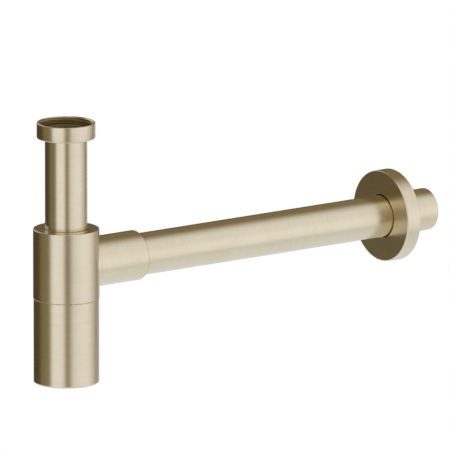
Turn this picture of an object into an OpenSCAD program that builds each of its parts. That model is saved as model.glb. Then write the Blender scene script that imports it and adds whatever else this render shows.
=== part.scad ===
// Bottle trap for a washbasin, brushed brass: a smooth coupling nut and inlet pipe drop into a
// round body with a screwed cup, and a plain outlet tube runs back through a wall flange.
// The origin is the centre of the coupling nut's mouth, +Z is up and +X points at the wall.

/* [Coupling nut] */
// Wall of the nut outside its relief
nut_wall = 1.2; // [0.8:0.1:4]
// Height of the nut
nut_h = 12; // [11:0.5:20]
// How much deeper than the thread's crests its relief is cut
nut_relief_depth = 1.5; // [1:0.1:1.8]
// Length of the relief below the thread
nut_relief_h = 4.4; // [4.2:0.1:5]
// Thickness of the nut's floor, which the pipe's lip hangs on
nut_floor = 2; // [1.5:0.1:3]
// Width of the lead-in at the nut's mouth
nut_lead = 0.4; // [0.3:0.1:1.2]

/* [Inlet pipe] */
// Outside diameter of the inlet pipe
inlet_od = 32; // [28:0.5:34]
// Wall of the inlet pipe
inlet_wall = 1.2; // [0.8:0.1:1.6]
// Length of pipe that shows between the nut and the body
inlet_shown = 70; // [40:1:120]
// Width of the lip that is turned out at the pipe's top, outside the pipe
lip_w = 3.2; // [2.4:0.1:4]
// Thickness of that lip
lip_t = 1.4; // [1:0.1:1.6]
// Round inside the lip, where the bore flares
lip_round = 1.2; // [0.4:0.1:1.4]
// Thickness of the slip ring under the lip
slip_ring_t = 0.8; // [0.5:0.1:1]
// Thickness of the flat washer on the lip
washer_t = 2; // [1.5:0.1:2]
// Depth of water that stands over the pipe's open end
seal_depth = 54; // [30:1:56]

/* [Body] */
// Outside diameter of the body
body_od = 50.2; // [49:0.1:64]
// Wall of the body around its chamber
body_wall = 2; // [1.6:0.1:2.4]
// Thickness of the neck at the body's top, which holds the pipe's seals
neck_h = 14; // [13:0.2:15]
// Depth of the upper pipe seal below the body's top
neck_seal_depth = 4.4; // [3.6:0.1:4.8]
// Distance between the two pipe seals
neck_seal_pitch = 5.4; // [4.6:0.1:6]
// Width of the lead-in at the mouth of the neck
neck_lead = 0.9; // [0.3:0.1:1.2]
// Land between the neck and the top of the outlet's bore
outlet_land = 0.6; // [0.2:0.1:3]
// Height of the body's side between the collar and the seam
body_skirt = 5.6; // [4.6:0.2:30]

/* [Cup thread] */
// Length of the body's threaded spigot below the seam
spigot_h = 13.2; // [12.4:0.1:20]
// Wall of the spigot behind its seal groove
spigot_wall = 0.95; // [0.8:0.05:1.5]
// Pitch of the thread between the body and the cup
thread_pitch = 1.5; // [1:0.25:1.75]
// Metal left outside the thread at the cup's mouth
thread_cover = 1.2; // [1:0.05:1.4]
// Plain land on the spigot above its seal groove
pilot_land = 1.4; // [1:0.1:2]
// Plain land on the spigot between its seal groove and its thread
thread_land = 1.2; // [0.8:0.1:2]

/* [Cup] */
// Height of the cup below the seam
cup_h = 65.2; // [63:0.1:100]
// Step in from the body's side to the cup's side
cup_step = 0.3; // [0:0.05:0.6]
// Wall of the cup below its thread
cup_wall = 2; // [1.5:0.1:3]
// Thickness of the cup's floor
cup_floor = 2.8; // [2:0.1:4]
// Round inside the cup, between its wall and its floor
cup_inner_round = 5; // [2:0.5:8]
// Round on the outside edge of the cup's floor
cup_edge_round = 1.2; // [0.5:0.1:2]

/* [Outlet collar] */
// Length of the collar that stands out of the body's side
collar_shown = 39.4; // [36:0.1:60]
// Wall of the collar outside the grooves of its seals
collar_wall = 1.14; // [0.9:0.02:2]
// Depth of the socket in the collar
socket_depth = 34.5; // [26:0.5:35]
// Wall of the inner stop, below the socket's bore
socket_stop = 1.48; // [1:0.01:2]
// Depth of the outer tube seal in the socket
socket_seal_depth = 5.4; // [4:0.1:6]
// Distance between the two tube seals
socket_seal_pitch = 6; // [4:0.1:8]
// Width of the lead-in at the collar's mouth
collar_lead = 0.6; // [0.2:0.1:0.8]

/* [Outlet tube] */
// Outside diameter of the outlet tube
tube_od = 32; // [28:0.5:40]
// Wall of the outlet tube
tube_wall = 1.2; // [0.8:0.1:1.6]
// Length of the outlet tube
tube_len = 300; // [200:5:400]
// Length of tube that is pushed into the socket
tube_in = 23.5; // [18:0.5:25]
// Round on the outside edge of the tube's free end
tube_end_round = 0.8; // [0.2:0.1:1]

/* [Wall flange] */
// Outside diameter of the flange
flange_od = 70; // [60:0.5:90]
// Depth of the flange, from its face to the wall
flange_t = 12; // [10.5:0.5:20]
// Length of tube behind the flange, which goes into the wall
tube_stub = 31.7; // [20:0.1:80]
// Thickness of the flange's face
flange_face_t = 2.4; // [1.5:0.1:3]
// Wall of the flange's rim
flange_rim_t = 1.8; // [1.2:0.1:3]
// Length of the flange's hub behind its face
hub_h = 6; // [5:0.1:7.5]
// Wall of the hub outside its grip ring
hub_wall = 1.6; // [1.2:0.1:2.5]
// Gap between the tube and the flange's bore
flange_gap = 0.6; // [0.4:0.05:1]
// Width of the lead-in at the flange's bore
flange_lead = 0.5; // [0.2:0.1:0.8]

/* [Seals] */
// Section of the two seals round the inlet pipe
neck_seal_d = 2.65; // [2.4:0.05:3]
// Section of the two seals round the outlet tube
tube_seal_d = 1.78; // [1.5:0.02:1.9]
// Section of the seal between the body and the cup
cup_seal_d = 1.78; // [1.5:0.02:1.9]
// Section of the ring that grips the tube inside the flange
grip_ring_d = 2.4; // [2:0.05:2.65]
// How much wider a seal's groove is than its seal
groove_spare = 0.5; // [0.3:0.05:0.8]

/* [Edges and clearances] */
// Round on the turned outside edges
edge_round = 0.8; // [0.3:0.1:1]
// Small chamfer that breaks the other edges
edge_break = 0.3; // [0.1:0.05:0.4]
// Round inside the body, where its wall meets the neck
inner_round = 1.5; // [0.5:0.1:2]
// Radial gap of a pipe in its socket
running_gap = 0.08; // [0.04:0.01:0.1]
// Radial gap of a seal against the metal that it slides on or lies in
seal_gap = 0.04; // [0.03:0.01:0.06]
// Radial gap of a loose ring, or of a hole that a pipe only passes
loose_gap = 0.3; // [0.2:0.05:0.4]
// Gap at the seam when the cup is screwed home
seam_gap = 0.1; // [0:0.05:0.2]

/* [Hidden] */
$fn = 96;

// Colours
brushed_brass = "#cdbf9b";
black_rubber = "#222220";
fibre = "#6b5a33";
nylon = "#e9e6dc";

// How far a cutting shape runs past the metal
past = 1;

// Inlet, from the nut's mouth down
inlet_r = inlet_od / 2;
inlet_bore_r = inlet_r - inlet_wall;
nut_floor_z = -(nut_h - nut_floor);
thread_end_z = nut_floor_z + nut_relief_h;
slip_ring_z = nut_floor_z;
lip_z = slip_ring_z + slip_ring_t;
washer_z = lip_z + lip_t;
lip_r = inlet_r + lip_w;

// Nut: the crests of its thread just clear the lip
nut_crest_r = lip_r + loose_gap;
nut_relief_r = nut_crest_r + nut_relief_depth;
nut_r = nut_relief_r + nut_wall;

// Body
body_r = body_od / 2;
body_top_z = -(nut_h + inlet_shown);
chamber_r = body_r - body_wall;
neck_bore_r = inlet_r + running_gap;
neck_under_z = body_top_z - neck_h;

// Grooves: each seal touches neither its pipe nor the groove's floor
neck_seal_r = inlet_r + seal_gap + neck_seal_d / 2;
neck_groove_r = inlet_r + neck_seal_d + 2 * seal_gap;
neck_groove_w = neck_seal_d + groove_spare;
neck_seal_upper_z = body_top_z - neck_seal_depth;
neck_seal_lower_z = neck_seal_upper_z - neck_seal_pitch;

// Outlet
collar_reach = body_r + collar_shown;
tube_r = tube_od / 2;
tube_bore_r = tube_r - tube_wall;
socket_r = tube_r + running_gap;
stop_r = socket_r - socket_stop;
outlet_z = neck_under_z - outlet_land - stop_r;
socket_floor_x = collar_reach - socket_depth;
tube_start_x = collar_reach - tube_in;
tube_end_x = tube_start_x + tube_len;
tube_seal_r = tube_r + seal_gap + tube_seal_d / 2;
tube_groove_r = tube_r + tube_seal_d + 2 * seal_gap;
tube_groove_w = tube_seal_d + groove_spare;
tube_seal_outer_x = collar_reach - socket_seal_depth;
tube_seal_inner_x = tube_seal_outer_x - socket_seal_pitch;
collar_r = tube_groove_r + collar_wall;
seam_z = outlet_z - collar_r - body_skirt;

// Cup and its thread
cup_r = body_r - cup_step;
cup_rim_z = seam_z - seam_gap;
cup_bottom_z = seam_z - cup_h;
mouth_r = cup_r - thread_cover;
pilot_r = mouth_r - running_gap;
thread_depth = 0.6134 * thread_pitch;
spigot_thread_r = pilot_r - thread_depth;
cup_groove_r = mouth_r - cup_seal_d - 2 * seal_gap;
cup_groove_w = cup_seal_d + groove_spare;
cup_groove_top_z = seam_z - pilot_land;
cup_seal_z = cup_groove_top_z - cup_groove_w / 2;
thread_top_z = cup_groove_top_z - cup_groove_w - thread_land;
spigot_end_z = seam_z - spigot_h;
spigot_bore_r = cup_groove_r - spigot_wall;
cup_bore_r = cup_r - cup_wall;
mouth_end_z = spigot_end_z - thread_pitch;

// The pipe's open end hangs below the lowest point of the outlet's bore
weir_z = outlet_z - stop_r;
inlet_end_z = weir_z - seal_depth;

// Wall flange
flange_back_x = tube_end_x - tube_stub;
flange_front_x = flange_back_x - flange_t;
flange_r = flange_od / 2;
flange_bore_r = tube_r + flange_gap;
grip_ring_r = tube_r + seal_gap + grip_ring_d / 2;
grip_groove_r = tube_r + grip_ring_d + 2 * seal_gap;
grip_groove_w = grip_ring_d + groove_spare;
hub_r = grip_groove_r + hub_wall;
hub_end_x = flange_front_x + flange_face_t + hub_h;
grip_ring_x = hub_end_x - hub_h / 2;

// A rectangle between two corners
module block(x0, y0, x1, y1) {
    translate([min(x0, x1), min(y0, y1)])
        square([abs(x1 - x0), abs(y1 - y0)]);
}

// What a round takes off the corner at [x, y]; the metal lies toward side_x and side_y
module corner_round(x, y, r, side_x, side_y) {
    difference() {
        block(x - side_x * past, y - side_y * past, x + side_x * r, y + side_y * r);
        translate([x + side_x * r, y + side_y * r])
            circle(r);
    }
}

// What a chamfer of width w takes off the corner at [x, y]
module corner_break(x, y, w, side_x, side_y) {
    polygon([
        [x + side_x * w, y],
        [x + side_x * w, y - side_y * past],
        [x - side_x * past, y - side_y * past],
        [x - side_x * past, y + side_y * w],
        [x, y + side_y * w],
    ]);
}

// What a round adds in the inside corner at [x, y]
module corner_fill(x, y, r, side_x, side_y) {
    difference() {
        block(x, y, x + side_x * r, y + side_y * r);
        translate([x + side_x * r, y + side_y * r])
            circle(r);
    }
}

// Turns a profile drawn as [distance along X, radius] about the outlet's axis
module turned_on_outlet() {
    translate([0, 0, outlet_z])
        rotate([0, 90, 0])
            rotate_extrude()
                rotate(90)
                    mirror([0, 1])
                        children();
}

// A round rubber ring whose section has diameter d, centred at radius r
module o_ring(r, d) {
    rotate_extrude()
        translate([r, 0])
            circle(d = d);
}

module coupling_nut() {
    color(brushed_brass)
        rotate_extrude()
            difference() {
                block(inlet_r + loose_gap, -nut_h, nut_r, 0);
                block(0, nut_floor_z, nut_relief_r, thread_end_z);
                block(0, thread_end_z, nut_crest_r, past);
                corner_break(nut_crest_r, thread_end_z, edge_break, 1, 1);
                corner_break(nut_crest_r, 0, nut_lead, 1, -1);
                corner_break(inlet_r + loose_gap, -nut_h, edge_break, 1, 1);
                corner_round(nut_r, 0, edge_round, -1, -1);
                corner_round(nut_r, -nut_h, edge_round, -1, 1);
            }
}

module slip_ring() {
    color(nylon)
        rotate_extrude()
            block(inlet_r + loose_gap, slip_ring_z, lip_r, slip_ring_z + slip_ring_t);
}

module inlet_washer() {
    color(fibre)
        rotate_extrude()
            difference() {
                block(inlet_bore_r + lip_round, washer_z, lip_r, washer_z + washer_t);
                corner_break(inlet_bore_r + lip_round, washer_z + washer_t, edge_break, 1, -1);
                corner_break(lip_r, washer_z + washer_t, edge_break, -1, -1);
            }
}

module inlet_pipe() {
    color(brushed_brass)
        rotate_extrude()
            difference() {
                union() {
                    block(inlet_bore_r, inlet_end_z, inlet_r, washer_z);
                    block(inlet_bore_r, lip_z, lip_r, washer_z);
                }
                corner_round(inlet_bore_r, washer_z, lip_round, 1, -1);
                corner_break(lip_r, washer_z, edge_break, -1, -1);
                corner_break(inlet_r, inlet_end_z, edge_break, -1, 1);
                corner_break(inlet_bore_r, inlet_end_z, edge_break, 1, 1);
            }
}

module neck_o_ring_upper() {
    color(black_rubber)
        translate([0, 0, neck_seal_upper_z])
            o_ring(neck_seal_r, neck_seal_d);
}

module neck_o_ring_lower() {
    color(black_rubber)
        translate([0, 0, neck_seal_lower_z])
            o_ring(neck_seal_r, neck_seal_d);
}

// Outside of the body and its spigot, as [radius, height]
module body_outline() {
    difference() {
        union() {
            block(0, seam_z, body_r, body_top_z);
            block(0, thread_top_z, pilot_r, seam_z);
            block(0, spigot_end_z, spigot_thread_r, thread_top_z);
        }
        corner_round(body_r, body_top_z, edge_round, -1, -1);
        corner_break(body_r, seam_z, edge_break, -1, 1);
        corner_break(spigot_thread_r, spigot_end_z, edge_break, -1, 1);
        block(cup_groove_r, cup_groove_top_z - cup_groove_w, body_r, cup_groove_top_z);
    }
}

// Room inside the body: the neck's bore with its two grooves, the chamber and the spigot's bore
module body_room() {
    funnel_h = chamber_r - spigot_bore_r;
    funnel_z = seam_z + body_wall;

    block(0, neck_under_z - past, neck_bore_r, body_top_z + past);
    corner_break(neck_bore_r, body_top_z, neck_lead, 1, -1);
    for (z = [neck_seal_upper_z, neck_seal_lower_z])
        block(0, z - neck_groove_w / 2, neck_groove_r, z + neck_groove_w / 2);
    difference() {
        block(0, funnel_z + funnel_h, chamber_r, neck_under_z);
        corner_fill(chamber_r, neck_under_z, inner_round, -1, -1);
    }
    polygon([
        [0, funnel_z + funnel_h],
        [chamber_r, funnel_z + funnel_h],
        [spigot_bore_r, funnel_z],
        [0, funnel_z],
    ]);
    block(0, spigot_end_z - past, spigot_bore_r, funnel_z);
    corner_break(spigot_bore_r, spigot_end_z, edge_break, 1, 1);
}

// Room inside the collar, as [distance from the body's axis, radius]
module collar_room() {
    block(0, 0, socket_floor_x, stop_r);
    block(socket_floor_x, 0, collar_reach + past, socket_r);
    corner_break(socket_floor_x, stop_r, edge_break, -1, 1);
    corner_break(collar_reach, socket_r, collar_lead, -1, 1);
    for (x = [tube_seal_outer_x, tube_seal_inner_x])
        block(x - tube_groove_w / 2, 0, x + tube_groove_w / 2, tube_groove_r);
}

module trap_body() {
    color(brushed_brass)
        difference() {
            union() {
                rotate_extrude()
                    body_outline();
                turned_on_outlet()
                    difference() {
                        block(0, 0, collar_reach, collar_r);
                        corner_break(collar_reach, collar_r, edge_break, -1, -1);
                    }
            }
            rotate_extrude()
                body_room();
            turned_on_outlet()
                collar_room();
        }
}

module cup_o_ring() {
    color(black_rubber)
        translate([0, 0, cup_seal_z])
            o_ring(cup_groove_r + seal_gap + cup_seal_d / 2, cup_seal_d);
}

module bottle_cup() {
    color(brushed_brass)
        rotate_extrude()
            difference() {
                block(0, cup_bottom_z, cup_r, cup_rim_z);
                block(0, mouth_end_z, mouth_r, cup_rim_z + past);
                difference() {
                    block(0, cup_bottom_z + cup_floor, cup_bore_r, mouth_end_z + past);
                    corner_fill(cup_bore_r, cup_bottom_z + cup_floor, cup_inner_round, -1, 1);
                }
                corner_break(mouth_r, cup_rim_z, edge_break, 1, -1);
                corner_break(cup_r, cup_rim_z, edge_break, -1, -1);
                corner_break(cup_bore_r, mouth_end_z, edge_break, 1, -1);
                corner_round(cup_r, cup_bottom_z, cup_edge_round, -1, 1);
            }
}

module outlet_o_ring_outer() {
    color(black_rubber)
        translate([tube_seal_outer_x, 0, outlet_z])
            rotate([0, 90, 0])
                o_ring(tube_seal_r, tube_seal_d);
}

module outlet_o_ring_inner() {
    color(black_rubber)
        translate([tube_seal_inner_x, 0, outlet_z])
            rotate([0, 90, 0])
                o_ring(tube_seal_r, tube_seal_d);
}

module outlet_tube() {
    color(brushed_brass)
        turned_on_outlet()
            difference() {
                block(tube_start_x, tube_bore_r, tube_end_x, tube_r);
                corner_round(tube_end_x, tube_r, tube_end_round, -1, -1);
                corner_break(tube_end_x, tube_bore_r, edge_break, -1, 1);
                corner_break(tube_start_x, tube_r, edge_break, 1, -1);
                corner_break(tube_start_x, tube_bore_r, edge_break, 1, 1);
            }
}

module flange_grip_ring() {
    color(black_rubber)
        translate([grip_ring_x, 0, outlet_z])
            rotate([0, 90, 0])
                o_ring(grip_ring_r, grip_ring_d);
}

module wall_flange() {
    recess_x = flange_front_x + flange_face_t;

    color(brushed_brass)
        turned_on_outlet()
            difference() {
                block(flange_front_x, flange_bore_r, flange_back_x, flange_r);
                block(recess_x, hub_r, flange_back_x + past, flange_r - flange_rim_t);
                block(hub_end_x, 0, flange_back_x + past, flange_r - flange_rim_t);
                block(grip_ring_x - grip_groove_w / 2, 0, grip_ring_x + grip_groove_w / 2, grip_groove_r);
                corner_break(flange_front_x, flange_bore_r, flange_lead, 1, 1);
                corner_break(hub_end_x, flange_bore_r, edge_break, -1, 1);
                corner_break(flange_back_x, flange_r, edge_break, -1, -1);
                corner_round(flange_front_x, flange_r, edge_round, 1, -1);
            }
}

coupling_nut();
slip_ring();
inlet_washer();
inlet_pipe();
neck_o_ring_upper();
neck_o_ring_lower();
trap_body();
cup_o_ring();
bottle_cup();
outlet_o_ring_outer();
outlet_o_ring_inner();
outlet_tube();
flange_grip_ring();
wall_flange();
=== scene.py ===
import math

import bpy
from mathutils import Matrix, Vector


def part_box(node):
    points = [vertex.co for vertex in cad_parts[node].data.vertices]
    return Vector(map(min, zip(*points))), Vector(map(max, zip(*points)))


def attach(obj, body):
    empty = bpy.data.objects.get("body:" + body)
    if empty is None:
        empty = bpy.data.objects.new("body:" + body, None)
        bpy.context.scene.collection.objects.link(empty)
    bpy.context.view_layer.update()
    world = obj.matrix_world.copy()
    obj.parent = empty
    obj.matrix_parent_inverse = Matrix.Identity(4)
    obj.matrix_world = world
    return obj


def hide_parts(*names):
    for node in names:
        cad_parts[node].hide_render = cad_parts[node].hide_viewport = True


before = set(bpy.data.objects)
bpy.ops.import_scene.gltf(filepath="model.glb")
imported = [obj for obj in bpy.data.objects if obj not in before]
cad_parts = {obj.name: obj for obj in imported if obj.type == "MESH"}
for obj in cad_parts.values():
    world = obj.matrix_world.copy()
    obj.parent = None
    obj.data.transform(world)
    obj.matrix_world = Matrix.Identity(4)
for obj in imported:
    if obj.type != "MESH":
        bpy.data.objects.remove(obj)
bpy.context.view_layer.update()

MM = 0.001
MM_PER_M = 1000.0

# Places that the solids give
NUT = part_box("coupling_nut")
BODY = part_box("trap_body")
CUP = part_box("bottle_cup")
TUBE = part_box("outlet_tube")

# Camera: where the photograph was taken from, how wide a strip it takes in, and where its centre lies
VIEW_AZIMUTH = math.radians(-36.54)
VIEW_ELEVATION = math.radians(12.358)
VIEW_WIDTH = 342.09 * MM
VIEW_LENS = 1650
VIEW_CLIP_START = 1.0
SENSOR = 36
AIM_RIGHT = 120.02 * MM
AIM_UP = -77.74 * MM
AIM_DEPTH_POINT = Vector((150, 0, -100)) * MM

# Floor: its own light is white to the camera and tinted in the metal, and its shares of the floor's light
# are given under the trap and far from it, in millimetres from the inlet's axis
WHITE = (1, 1, 1, 1)
FLOOR_Z = CUP[0].z - 300 * MM
FLOOR_CENTRE_X = 100 * MM
FLOOR_R = 900 * MM
FLOOR_TONE = (0.9, 0.9, 0.89, 1)
FLOOR_IN_METAL = (0.95, 1.02, 1.2, 1)
FLOOR_NEAR = 250.0
FLOOR_FAR = 750.0
SEEN_SHARE_NEAR = 0.5
SEEN_SHARE_FAR = 1.0
METAL_SHARE_NEAR = 0.9
METAL_SHARE_FAR = 0.7

# Studio: edges are in degrees round the trap, from the camera toward the picture's right, and heights are
# sines of the elevation. A pair says where the light is out and where it is full.
SCREEN_LIGHT = (1.08, 1.13, 1.33)
LEFT_SCREEN_EDGES = ((-62.5, -48.5), (1, -12))
RIGHT_SCREEN_START = (5, 29)
RIGHT_SCREEN_LATE_START = (26, 60)
RIGHT_SCREEN_LATE_SHARE = 0.14
RIGHT_SCREEN_END = (152, 77)
RIGHT_SCREEN_LEAN = 12.0
SCREEN_UPPER_HEIGHTS = (0.1, 0.5)
SCREEN_UPPER_LOSS = 0.13
SCREEN_LOWER_HEIGHTS = (-0.1, -0.6)
SCREEN_LOWER_LOSS = 0.12
REAR_SCREEN_EDGES = ((-177, -167), (-108, -122))
REAR_SCREEN_HEIGHTS = ((0.0, 0.2), (0.92, 0.75))
REAR_SCREEN_LEVEL = 0.65
LOW_GLOW_EDGES = ((128, 150), (180, 175))
LOW_GLOW_HEIGHTS = (0.12, -0.08)
LOW_GLOW_LEVEL = 0.36
ROOM_TINT = (1.0, 0.8, 0.46)
ROOM_LEVEL = 0.085
ROOM_NEARER_SIDE = (-114, -92)
ROOM_NEARER_SIDE_LEVEL = 0.17
ROOM_CEILING_HEIGHTS = (0.75, 0.95)
ROOM_CEILING_LEVEL = 0.1

# Brass: what it reflects of white light, and how rough it is
CHAMPAGNE = (0.715, 0.625, 0.43)
CHAMPAGNE_DEEP = (0.685, 0.588, 0.382)
RAW_BRASS = (0.56, 0.445, 0.19)
RAW_BRASS_DULL = (0.46, 0.36, 0.15)
# Painted shade: a dark colour laid in a thin ring at the collar's end, standing in for the shade at its edge,
# and how much of it is laid
PAINTED_SHADE_COLOUR = (0.2, 0.165, 0.1)
PAINTED_SHADE_SHARE = 0.6
SATIN_ROUGHNESS = 0.23
SATIN_GRAIN_SPREAD = 0.08
SATIN_CLOUD_SPREAD = 0.03
RAW_ROUGHNESS = 0.36
RAW_GRAIN_SPREAD = 0.12

# Brushed grain: its fine lines and its broader strokes, and what each adds to the tone beside the clouds
LINES_PER_MM = 3.2
LINE_BREAKS = 2.2
STROKES_PER_MM = 0.55
STROKE_BREAKS = 1.1
FINE_IN_TONE = 0.35
STROKE_IN_TONE = 0.25
CLOUD_IN_TONE = 0.4
STROKE_IN_BUMP = 0.6

# Plating, in millimetres. The radii are those inside which a piece is left raw.
OUTLET_LEVEL = (TUBE[0].z + TUBE[1].z) / 2 * MM_PER_M
BODY_OUTSIDE = -BODY[0].x * MM_PER_M
BODY_TOP = BODY[1].z * MM_PER_M
COLLAR_END = BODY[1].x * MM_PER_M
NUT_PLATED_R = 21.1
PIPE_PLATED_R = 15.3
CUP_PLATED_R = 24.2
BODY_PLATED_R = 24.2
NECK_PLATED_R = 17.0
COLLAR_PLATED_R = 16.4
TUBE_PLATED_R = 15.3
PLATED_EDGE = 0.1
NUT_MOUTH_PLATED = (-1.6, -1.3)
BODY_TOP_PLATED = (BODY_TOP - 1.0, BODY_TOP - 0.8)
COLLAR_FROM_AXIS = (BODY_OUTSIDE + 0.1, BODY_OUTSIDE + 0.3)
COLLAR_SIDE = (2.0, 3.0)
# Span along X at the collar's end where the painted shade line is laid
COLLAR_END_PAINTED_SHADE_SPAN = (COLLAR_END - 0.9, COLLAR_END - 0.4)

# Seals and washers
RUBBER_BLACK = (0.016, 0.016, 0.017)
RUBBER_BLOOM = (0.045, 0.044, 0.042)
FIBRE_BROWN = (0.13, 0.09, 0.028)
FIBRE_HAIR = (0.24, 0.175, 0.06)
NYLON_DULL = (0.74, 0.71, 0.62)
NYLON_PALE = (0.84, 0.82, 0.75)

# Nut: the sizes that its thread needs, and those of the solid that it stands in for
G114_PITCH = 2.309 * MM
G114_CREST_R = 19.5 * MM
G114_ROOT_R = 20.955 * MM
G114_ANGLE = math.radians(55)
G114_FLAT = 0.3 * MM
NUT_R = NUT[1].x
NUT_END_Z = NUT[0].z
NUT_LEAD = 1.4 * MM
NUT_THREAD_END_Z = -5.6 * MM
NUT_RELIEF_R = 21 * MM
NUT_FLOOR_Z = -10 * MM
NUT_BORE_R = 16.3 * MM
NUT_ROUND = 0.8 * MM
NUT_BREAK = 0.3 * MM
CUTTER_PROUD = 0.4 * MM
CUTTER_RUN_OUT = 0.5 * MM
CUTTER_CUT_OFF = 1.5 * MM

# Thread between the body's spigot and the cup. Its ridges are sunk a little into the walls that carry them.
SPIGOT_H = 13.2 * MM
SPIGOT_PLAIN_H = 4.9 * MM
SPIGOT_ROOT_R = 22.6 * MM
SPIGOT_CREST_R = 23.5 * MM
CUP_WALL_R = 23.6 * MM
CUP_CREST_R = 22.7 * MM
CUP_THREAD_PITCH = 1.5 * MM
CUP_THREAD_TOP_Z = BODY[0].z + SPIGOT_H - SPIGOT_PLAIN_H
CUP_THREAD_END_Z = BODY[0].z + 0.02 * MM
RIDGE_BASE = 1.1 * MM
RIDGE_CREST = 0.25 * MM
RIDGE_SUNK = 0.15 * MM

# Meshes
AROUND = 128
CORNER_STEPS = 5
SHARP_ANGLE = math.radians(30)
MERGE_DISTANCE = 0.001 * MM


class Wire:
    """A socket of a node, or what arithmetic on sockets gives."""

    def __init__(self, shop, socket):
        self.shop = shop
        self.socket = socket

    def __add__(self, other):
        return self.shop.math("ADD", self, other)

    def __sub__(self, other):
        return self.shop.math("SUBTRACT", self, other)

    def __rsub__(self, other):
        return self.shop.math("SUBTRACT", other, self)

    def __mul__(self, other):
        return self.shop.math("MULTIPLY", self, other)

    def __truediv__(self, other):
        return self.shop.math("DIVIDE", self, other)

    __radd__ = __add__
    __rmul__ = __mul__


class NodeShop:
    """Adds nodes to one tree. A finish or the studio is written as expressions on what it returns."""

    def __init__(self, tree):
        self.tree = tree
        tree.nodes.clear()

    def node(self, kind, settings=None, values=(), output=0):
        """One node: its settings are set first, then its sockets are given values or links."""
        made = self.tree.nodes.new(kind)
        for name, value in (settings or {}).items():
            setattr(made, name, value)
        pairs = values.items() if isinstance(values, dict) else enumerate(values)
        for key, value in pairs:
            if isinstance(value, Wire):
                self.tree.links.new(value.socket, made.inputs[key])
            else:
                made.inputs[key].default_value = value
        return Wire(self, made.outputs[output]) if made.outputs else None

    def outputs(self, wire, *keys):
        """Several outputs of the node that a wire comes from."""
        return [Wire(self, wire.socket.node.outputs[key]) for key in keys]

    def math(self, operation, *values):
        return self.node("ShaderNodeMath", {"operation": operation}, values)

    def step(self, value, start, end):
        """0 before start, 1 after end, with a soft edge between. End may lie before start."""
        low, high = min(start, end), max(start, end)
        soft = self.node(
            "ShaderNodeMapRange",
            {"interpolation_type": "SMOOTHSTEP"},
            {"Value": value, "From Min": low, "From Max": high, "To Min": 0.0, "To Max": 1.0},
        )
        return soft if start < end else 1 - soft

    def band(self, value, edges):
        """1 between two soft edges and 0 outside them."""
        rise, fall = edges
        return self.step(value, *rise) * self.step(value, *fall)

    def split(self, vector):
        """The X, Y and Z of a vector, as three wires."""
        return self.outputs(self.node("ShaderNodeSeparateXYZ", None, {0: vector}), "X", "Y", "Z")

    def vector(self, x, y, z):
        return self.node("ShaderNodeCombineXYZ", None, {"X": x, "Y": y, "Z": z})

    def position(self):
        """The point on the object, in millimetres, as three wires."""
        place = self.node("ShaderNodeTexCoord", output="Object")
        return [part * MM_PER_M for part in self.split(place)]

    def mix_colour(self, amount, first, second):
        """A Mix node has its sockets for numbers and vectors before those for colours."""
        return self.node("ShaderNodeMix", {"data_type": "RGBA"}, {0: amount, 6: first, 7: second}, 2)

    def noise(self, place, scale, detail, roughness):
        return self.node(
            "ShaderNodeTexNoise",
            {"noise_dimensions": "3D"},
            {"Vector": place, "Scale": scale, "Detail": detail, "Roughness": roughness},
        )

    def bump(self, height, strength, distance_mm):
        return self.node(
            "ShaderNodeBump",
            None,
            {"Strength": strength, "Distance": distance_mm * MM, "Height": height},
        )

    def surface(self, **inputs):
        """A Principled surface to the material's output; names use _ for a space."""
        named = {name.replace("_", " "): value for name, value in inputs.items()}
        shader = self.node("ShaderNodeBsdfPrincipled", None, named)
        self.node("ShaderNodeOutputMaterial", None, {"Surface": shader})


def rgba(colour):
    return (*colour, 1.0)


def new_material(name):
    material = bpy.data.materials.new(name)
    material.use_nodes = True
    return material, NodeShop(material.node_tree)


def turned_grain(shop, across_a, across_b, along):
    """Fine lines that run round an axis, as a brush leaves them on a turning piece.

    The lines lie side by side along the axis on a wall, and along the radius on a flat face.
    """
    radius = shop.math("SQRT", across_a * across_a + across_b * across_b)
    beside = along - radius

    def lines(breaks, per_mm, detail, roughness):
        place = shop.vector(across_a / radius * breaks, across_b / radius * breaks, beside * per_mm)
        return shop.noise(place, 1.0, detail, roughness)

    fine = lines(LINE_BREAKS, LINES_PER_MM, 4.0, 0.62)
    stroke = lines(STROKE_BREAKS, STROKES_PER_MM, 2.0, 0.5)
    return fine, stroke, radius


def outside(shop, radius, plated_r):
    """1 where the metal lies farther from its axis than the plating starts."""
    return shop.step(radius, plated_r - PLATED_EDGE, plated_r + PLATED_EDGE)


def inlet_grain(shop, x, y, z, plated_r):
    """Grain and plating of a piece that was turned on the inlet's axis. The nut's mouth is plated too."""
    fine, stroke, radius = turned_grain(shop, x, y, z)
    mouth = shop.step(z, *NUT_MOUTH_PLATED)
    return fine, stroke, shop.math("MAXIMUM", outside(shop, radius, plated_r), mouth)


def outlet_grain(shop, x, y, z, plated_r):
    """Grain and plating of a piece that was turned on the outlet's axis."""
    fine, stroke, radius = turned_grain(shop, y, z - OUTLET_LEVEL, x)
    return fine, stroke, outside(shop, radius, plated_r)


def body_grain(shop, x, y, z, plated_r):
    """Grain and plating of the body, whose collar was turned on the outlet's axis."""
    fine, stroke, radius = turned_grain(shop, x, y, z)
    collar_fine, collar_stroke, collar_plated = outlet_grain(shop, x, y, z, COLLAR_PLATED_R)
    collar = shop.step(radius, *COLLAR_FROM_AXIS) * shop.step(x, *COLLAR_SIDE)
    top_ring = shop.step(z, *BODY_TOP_PLATED) * outside(shop, radius, NECK_PLATED_R)
    plated = shop.math("MAXIMUM", outside(shop, radius, plated_r), top_ring)
    return (
        fine * (1 - collar) + collar_fine * collar,
        stroke * (1 - collar) + collar_stroke * collar,
        plated * (1 - collar) + collar_plated * collar,
    )


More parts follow.
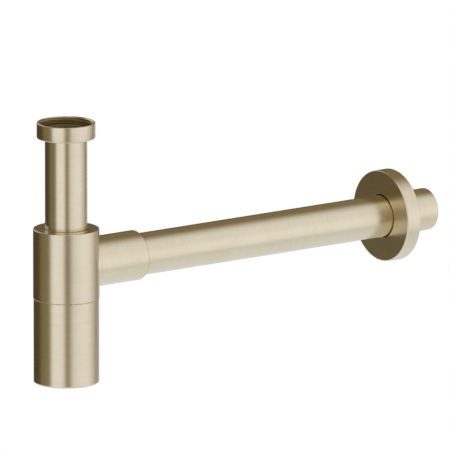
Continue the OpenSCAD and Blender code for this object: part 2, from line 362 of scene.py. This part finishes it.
def brushed_brass(name, grain, plated_r, painted_collar_shade=False):
    """Satin plated brass, brushed round the axis that it was turned on, and raw brass nearer to that axis.
    Where asked, a thin dark line of painted shade is laid round the collar's end.
    """
    material, shop = new_material(name)
    x, y, z = shop.position()
    fine, stroke, plated = grain(shop, x, y, z, plated_r)
    cloud = shop.noise(shop.vector(x, y, z), scale=0.045, detail=3.0, roughness=0.5)
    tone = fine * FINE_IN_TONE + stroke * STROKE_IN_TONE + cloud * CLOUD_IN_TONE
    finish = shop.mix_colour(shop.step(tone, 0.36, 0.64), rgba(CHAMPAGNE_DEEP), rgba(CHAMPAGNE))
    if painted_collar_shade:
        # Painted shade: the collar's end is darkened in a thin ring, standing in for the shade at its edge
        painted_shade = shop.step(x, *COLLAR_END_PAINTED_SHADE_SPAN) * PAINTED_SHADE_SHARE
        finish = shop.mix_colour(painted_shade, finish, rgba(PAINTED_SHADE_COLOUR))
    raw = shop.mix_colour(shop.step(tone, 0.3, 0.7), rgba(RAW_BRASS_DULL), rgba(RAW_BRASS))
    satin = SATIN_ROUGHNESS + (fine - 0.5) * SATIN_GRAIN_SPREAD + cloud * SATIN_CLOUD_SPREAD
    raw_roughness = RAW_ROUGHNESS + fine * RAW_GRAIN_SPREAD
    shop.surface(
        Base_Color=shop.mix_colour(plated, raw, finish),
        Metallic=1.0,
        Roughness=satin * plated + raw_roughness * (1 - plated),
        Normal=shop.bump(fine + stroke * STROKE_IN_BUMP, strength=0.12, distance_mm=0.02),
    )
    return material


def rubber(name):
    """Black moulded rubber, satin, with a faint bloom."""
    material, shop = new_material(name)
    place = shop.vector(*shop.position())
    grit = shop.noise(place, scale=2.4, detail=4.0, roughness=0.6)
    cloud = shop.noise(place, scale=0.12, detail=3.0, roughness=0.5)
    bloom = shop.step(cloud, 0.45, 0.75) * 0.35
    shop.surface(
        Base_Color=shop.mix_colour(bloom, rgba(RUBBER_BLACK), rgba(RUBBER_BLOOM)),
        Roughness=0.42 + grit * 0.18,
        Normal=shop.bump(grit, strength=0.18, distance_mm=0.05),
    )
    return material


def pressed_fibre(name):
    """Brown pressed fibre of a flat washer, with paler hairs in it that lie along X and along Y."""
    material, shop = new_material(name)
    x, y, z = shop.position()
    along_y = shop.noise(shop.vector(x * 1.6, y * 0.5, z), scale=1.0, detail=4.0, roughness=0.65)
    along_x = shop.noise(shop.vector(x * 0.45, y * 1.7, z), scale=1.0, detail=4.0, roughness=0.65)
    mat = along_y * 0.5 + along_x * 0.5
    shop.surface(
        Base_Color=shop.mix_colour(shop.step(mat, 0.38, 0.62), rgba(FIBRE_BROWN), rgba(FIBRE_HAIR)),
        Roughness=0.62 + mat * 0.2,
        Normal=shop.bump(mat, strength=0.25, distance_mm=0.08),
    )
    return material


def slip_nylon(name):
    """Natural nylon of the slip ring, with turning lines."""
    material, shop = new_material(name)
    fine, _, _ = turned_grain(shop, *shop.position())
    shop.surface(
        Base_Color=shop.mix_colour(fine, rgba(NYLON_DULL), rgba(NYLON_PALE)),
        Roughness=0.38 + fine * 0.15,
        Normal=shop.bump(fine, strength=0.1, distance_mm=0.03),
    )
    return material


def dress(node, material):
    """Gives a CAD node its finish."""
    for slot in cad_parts[node].material_slots:
        slot.material = material


def select_only(piece):
    bpy.ops.object.select_all(action="DESELECT")
    piece.select_set(True)
    bpy.context.view_layer.objects.active = piece


def finish_piece(piece, material):
    """Merges doubles, turns the faces outward, shades, and gives the piece its finish."""
    select_only(piece)
    bpy.ops.object.transform_apply(location=True, rotation=True, scale=True)
    bpy.ops.object.mode_set(mode="EDIT")
    bpy.ops.mesh.select_all(action="SELECT")
    bpy.ops.mesh.remove_doubles(threshold=MERGE_DISTANCE)
    bpy.ops.mesh.normals_make_consistent(inside=False)
    bpy.ops.object.mode_set(mode="OBJECT")
    bpy.ops.object.shade_smooth_by_angle(angle=SHARP_ANGLE)
    piece.data.materials.clear()
    piece.data.materials.append(material)


def apply_modifier(piece, kind, **settings):
    select_only(piece)
    modifier = piece.modifiers.new(kind.lower(), kind)
    for name, value in settings.items():
        setattr(modifier, name, value)
    bpy.ops.object.modifier_apply(modifier=modifier.name)


def rounded_corner(radius, z, size, radius_side, z_side):
    """Points of a quarter round at a corner of a profile. The sides say where the metal lies from it."""
    centre_r = radius + radius_side * size
    centre_z = z + z_side * size
    return [
        (
            centre_r - radius_side * size * math.cos(math.pi / 2 * k / CORNER_STEPS),
            centre_z - z_side * size * math.sin(math.pi / 2 * k / CORNER_STEPS),
        )
        for k in range(CORNER_STEPS + 1)
    ]


def turned_piece(name, profile):
    """Turns a closed profile of (radius, z) points round Z, ring by ring."""
    bpy.ops.object.select_all(action="DESELECT")
    radius, z = profile[0]
    bpy.ops.mesh.primitive_circle_add(
        vertices=AROUND, radius=radius, location=(0, 0, z), enter_editmode=True
    )
    for next_radius, next_z in profile[1:] + profile[:1]:
        bpy.ops.mesh.extrude_region_move(TRANSFORM_OT_translate={"value": (0, 0, next_z - z)})
        scale = next_radius / radius
        bpy.ops.transform.resize(value=(scale, scale, 1), center_override=(0, 0, next_z))
        radius, z = next_radius, next_z
    bpy.ops.object.mode_set(mode="OBJECT")
    bpy.context.object.name = name
    return bpy.context.object


def helix_ridge(name, foot_r, crest_r, foot_w, crest_w, pitch, top_z, end_z, phase=0.0):
    """A right-handed thread ridge from its foot's radius to its crest's, that reaches past two heights.

    A plane is narrowed at the crest, loses its face and is swept round Z. The phase is a share of the pitch.
    """
    turns = math.ceil((top_z - end_z) / pitch) + 2
    start_z = end_z - pitch * (1 + phase)
    bpy.ops.object.select_all(action="DESELECT")
    bpy.ops.mesh.primitive_plane_add(
        size=1, location=((foot_r + crest_r) / 2, 0, start_z), rotation=(math.pi / 2, 0, 0)
    )
    ridge = bpy.context.object
    ridge.name = name
    ridge.scale = (abs(crest_r - foot_r), foot_w, 1)
    bpy.ops.object.transform_apply(location=True, rotation=True, scale=True)
    middle_r = (foot_r + crest_r) / 2
    crest_side = math.copysign(1, crest_r - foot_r)
    for vertex in ridge.data.vertices:
        vertex.select = (vertex.co.x - middle_r) * crest_side > 0
    for edge in ridge.data.edges:
        edge.select = all(ridge.data.vertices[k].select for k in edge.vertices)
    for face in ridge.data.polygons:
        face.select = False
    bpy.ops.object.mode_set(mode="EDIT")
    bpy.ops.transform.resize(value=(1, 1, crest_w / foot_w), center_override=(crest_r, 0, start_z))
    bpy.ops.mesh.select_all(action="SELECT")
    bpy.ops.mesh.delete(type="ONLY_FACE")
    bpy.ops.object.mode_set(mode="OBJECT")
    apply_modifier(
        ridge, "SCREW",
        angle=2 * math.pi, screw_offset=pitch, iterations=turns, steps=AROUND, render_steps=AROUND,
    )
    return ridge


def cut_level(piece, z, keep_below):
    """Cuts a piece off at a height and closes the cut."""
    select_only(piece)
    bpy.ops.object.mode_set(mode="EDIT")
    bpy.ops.mesh.select_all(action="SELECT")
    bpy.ops.mesh.bisect(
        plane_co=(0, 0, z), plane_no=(0, 0, 1), use_fill=True,
        clear_outer=keep_below, clear_inner=not keep_below,
    )
    bpy.ops.object.mode_set(mode="OBJECT")


def make_nut(material):
    """The nut with its G 1 1/4 thread: turned to the thread's crests, then the groove is cut."""
    profile = (
        rounded_corner(NUT_R, 0, NUT_ROUND, -1, -1)[::-1]
        + rounded_corner(NUT_R, NUT_END_Z, NUT_ROUND, -1, 1)
        + [
            (NUT_BORE_R + NUT_BREAK, NUT_END_Z),
            (NUT_BORE_R, NUT_END_Z + NUT_BREAK),
            (NUT_BORE_R, NUT_FLOOR_Z),
            (NUT_RELIEF_R, NUT_FLOOR_Z),
            (NUT_RELIEF_R, NUT_THREAD_END_Z),
            (G114_CREST_R + NUT_BREAK, NUT_THREAD_END_Z),
            (G114_CREST_R, NUT_THREAD_END_Z + NUT_BREAK),
            (G114_CREST_R, -NUT_LEAD),
            (G114_CREST_R + NUT_LEAD, 0),
        ]
    )
    nut = turned_piece("nut_with_thread", profile)
    finish_piece(nut, material)

    cutter_foot_r = G114_CREST_R - CUTTER_PROUD
    cutter_foot_w = G114_FLAT + 2 * (G114_ROOT_R - cutter_foot_r) * math.tan(G114_ANGLE / 2)
    cutter = helix_ridge(
        "groove_cutter", cutter_foot_r, G114_ROOT_R, cutter_foot_w, G114_FLAT, G114_PITCH,
        CUTTER_RUN_OUT, NUT_THREAD_END_Z - CUTTER_RUN_OUT,
    )
    cut_level(cutter, CUTTER_CUT_OFF, True)
    cut_level(cutter, NUT_THREAD_END_Z - CUTTER_CUT_OFF, False)
    finish_piece(cutter, material)
    apply_modifier(nut, "BOOLEAN", operation="DIFFERENCE", object=cutter, solver="EXACT")
    bpy.data.objects.remove(cutter, do_unlink=True)
    finish_piece(nut, material)
    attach(nut, "nut")
    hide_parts("coupling_nut")


def make_cup_threads(material):
    """The ridges on the body's spigot and in the cup, half a pitch apart so that they mesh."""
    spigot = helix_ridge(
        "spigot_thread", SPIGOT_ROOT_R - RIDGE_SUNK, SPIGOT_CREST_R, RIDGE_BASE, RIDGE_CREST,
        CUP_THREAD_PITCH, CUP_THREAD_TOP_Z, CUP_THREAD_END_Z,
    )
    cup = helix_ridge(
        "cup_thread", CUP_WALL_R + RIDGE_SUNK, CUP_CREST_R, RIDGE_BASE, RIDGE_CREST,
        CUP_THREAD_PITCH, CUP_THREAD_TOP_Z, CUP_THREAD_END_Z, phase=0.5,
    )
    for ridge, body in ((spigot, "trap"), (cup, "cup")):
        cut_level(ridge, CUP_THREAD_TOP_Z, True)
        cut_level(ridge, CUP_THREAD_END_Z, False)
        finish_piece(ridge, material)
        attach(ridge, body)


def make_camera():
    """A camera far off with a long lens, at the photograph's angle."""
    back = Vector((
        math.sin(VIEW_AZIMUTH) * math.cos(VIEW_ELEVATION),
        -math.cos(VIEW_AZIMUTH) * math.cos(VIEW_ELEVATION),
        math.sin(VIEW_ELEVATION),
    ))
    right = Vector((math.cos(VIEW_AZIMUTH), math.sin(VIEW_AZIMUTH), 0))
    up = back.cross(right)
    aim = AIM_RIGHT * right + AIM_UP * up + AIM_DEPTH_POINT.dot(back) * back
    distance = VIEW_WIDTH * VIEW_LENS / SENSOR
    data = bpy.data.cameras.new("camera")
    data.lens = VIEW_LENS
    data.sensor_width = SENSOR
    data.clip_start = VIEW_CLIP_START
    data.clip_end = 3 * distance
    camera = bpy.data.objects.new("camera", data)
    bpy.context.scene.collection.objects.link(camera)
    camera.location = aim + distance * back
    camera.rotation_mode = "QUATERNION"
    camera.rotation_quaternion = (-back).to_track_quat("-Z", "Y")
    bpy.context.scene.camera = camera


def make_floor():
    """A plain pale floor under the trap. It is white to the camera and in the metal, and keeps its shadow."""
    bpy.ops.object.select_all(action="DESELECT")
    bpy.ops.mesh.primitive_circle_add(
        vertices=AROUND, radius=FLOOR_R, fill_type="NGON", location=(FLOOR_CENTRE_X, 0, FLOOR_Z)
    )
    floor = bpy.context.object
    floor.name = "floor"
    material, shop = new_material("pale_floor")
    ray = shop.node("ShaderNodeLightPath")
    seen, mirrored, through = shop.outputs(ray, "Is Camera Ray", "Is Glossy Ray", "Is Transmission Ray")
    paint = shop.node("ShaderNodeBsdfDiffuse", None, {"Color": FLOOR_TONE})
    own_colour = shop.mix_colour(mirrored, WHITE, FLOOR_IN_METAL)
    own_light = shop.node("ShaderNodeEmission", None, {"Color": own_colour, "Strength": 1.0})
    x, y, _ = shop.position()
    away = shop.step(x * x + y * y, FLOOR_NEAR ** 2, FLOOR_FAR ** 2)
    seen_share = SEEN_SHARE_NEAR + away * (SEEN_SHARE_FAR - SEEN_SHARE_NEAR)
    metal_share = METAL_SHARE_NEAR + away * (METAL_SHARE_FAR - METAL_SHARE_NEAR)
    amount = (seen + through) * seen_share + mirrored * metal_share
    both = shop.node("ShaderNodeMixShader", None, {0: amount, 1: paint, 2: own_light})
    shop.node("ShaderNodeOutputMaterial", None, {"Surface": both})
    floor.data.materials.append(material)


def make_surroundings():
    """The studio: two tall pale screens in front with a gap between them, and a dim warm room round them.

    A fainter screen stands behind on the left, and the floor glows a little behind on the right.
    """
    world = bpy.data.worlds.new("studio")
    world.use_nodes = True
    bpy.context.scene.world = world
    shop = NodeShop(world.node_tree)
    x, y, height = shop.split(shop.node("ShaderNodeTexCoord", output="Generated"))
    side = x * math.cos(VIEW_AZIMUTH) + y * math.sin(VIEW_AZIMUTH)
    front = x * math.sin(VIEW_AZIMUTH) - y * math.cos(VIEW_AZIMUTH)
    turn = shop.math("ARCTAN2", side, front) * math.degrees(1)

    left_screen = shop.band(turn, LEFT_SCREEN_EDGES)
    early = shop.step(turn, *RIGHT_SCREEN_START) * (1 - RIGHT_SCREEN_LATE_SHARE)
    late = shop.step(turn, *RIGHT_SCREEN_LATE_START) * RIGHT_SCREEN_LATE_SHARE
    right_screen = (early + late) * shop.step(turn - height * RIGHT_SCREEN_LEAN, *RIGHT_SCREEN_END)
    upper_loss = shop.step(height, *SCREEN_UPPER_HEIGHTS) * SCREEN_UPPER_LOSS
    lower_loss = shop.step(height, *SCREEN_LOWER_HEIGHTS) * SCREEN_LOWER_LOSS
    rear_screen = shop.band(turn, REAR_SCREEN_EDGES) * shop.band(height, REAR_SCREEN_HEIGHTS)
    low_glow = shop.band(turn, LOW_GLOW_EDGES) * shop.step(height, *LOW_GLOW_HEIGHTS)
    white = (
        (left_screen + right_screen) * (1 - upper_loss - lower_loss)
        + rear_screen * REAR_SCREEN_LEVEL
        + low_glow * LOW_GLOW_LEVEL
    )

    nearer_side = shop.step(turn, *ROOM_NEARER_SIDE) * ROOM_NEARER_SIDE_LEVEL
    ceiling = shop.step(height, *ROOM_CEILING_HEIGHTS) * ROOM_CEILING_LEVEL
    gloom = ROOM_LEVEL + nearer_side + ceiling
    room = shop.node("ShaderNodeVectorMath", {"operation": "SCALE"}, {0: ROOM_TINT, "Scale": gloom})
    studio = shop.mix_colour(white, room, rgba(SCREEN_LIGHT))
    ray = shop.node("ShaderNodeLightPath")
    seen, through = shop.outputs(ray, "Is Camera Ray", "Is Transmission Ray")
    colour = shop.mix_colour(seen + through, studio, WHITE)
    background = shop.node("ShaderNodeBackground", None, {"Color": colour, "Strength": 1.0})
    shop.node("ShaderNodeOutputWorld", None, {"Surface": background})


make_camera()
make_floor()
make_surroundings()

nut_brass = brushed_brass("brushed_brass_nut", inlet_grain, NUT_PLATED_R)
pipe_brass = brushed_brass("brushed_brass_pipe", inlet_grain, PIPE_PLATED_R)
cup_brass = brushed_brass("brushed_brass_cup", inlet_grain, CUP_PLATED_R)
# The body's collar end gets its painted shade line
body_brass = brushed_brass("brushed_brass_body", body_grain, BODY_PLATED_R, painted_collar_shade=True)
outlet_brass = brushed_brass("brushed_brass_outlet", outlet_grain, TUBE_PLATED_R)
seal_rubber = rubber("seal_rubber")

dress("inlet_pipe", pipe_brass)
dress("bottle_cup", cup_brass)
make_nut(nut_brass)
make_cup_threads(cup_brass)
for node in ("outlet_tube", "wall_flange"):
    dress(node, outlet_brass)
dress("trap_body", body_brass)
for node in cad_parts:
    if "o_ring" in node or node == "flange_grip_ring":
        dress(node, seal_rubber)
dress("inlet_washer", pressed_fibre("pressed_fibre"))
dress("slip_ring", slip_nylon("slip_nylon"))

bpy.context.scene.view_settings.view_transform = "Standard"
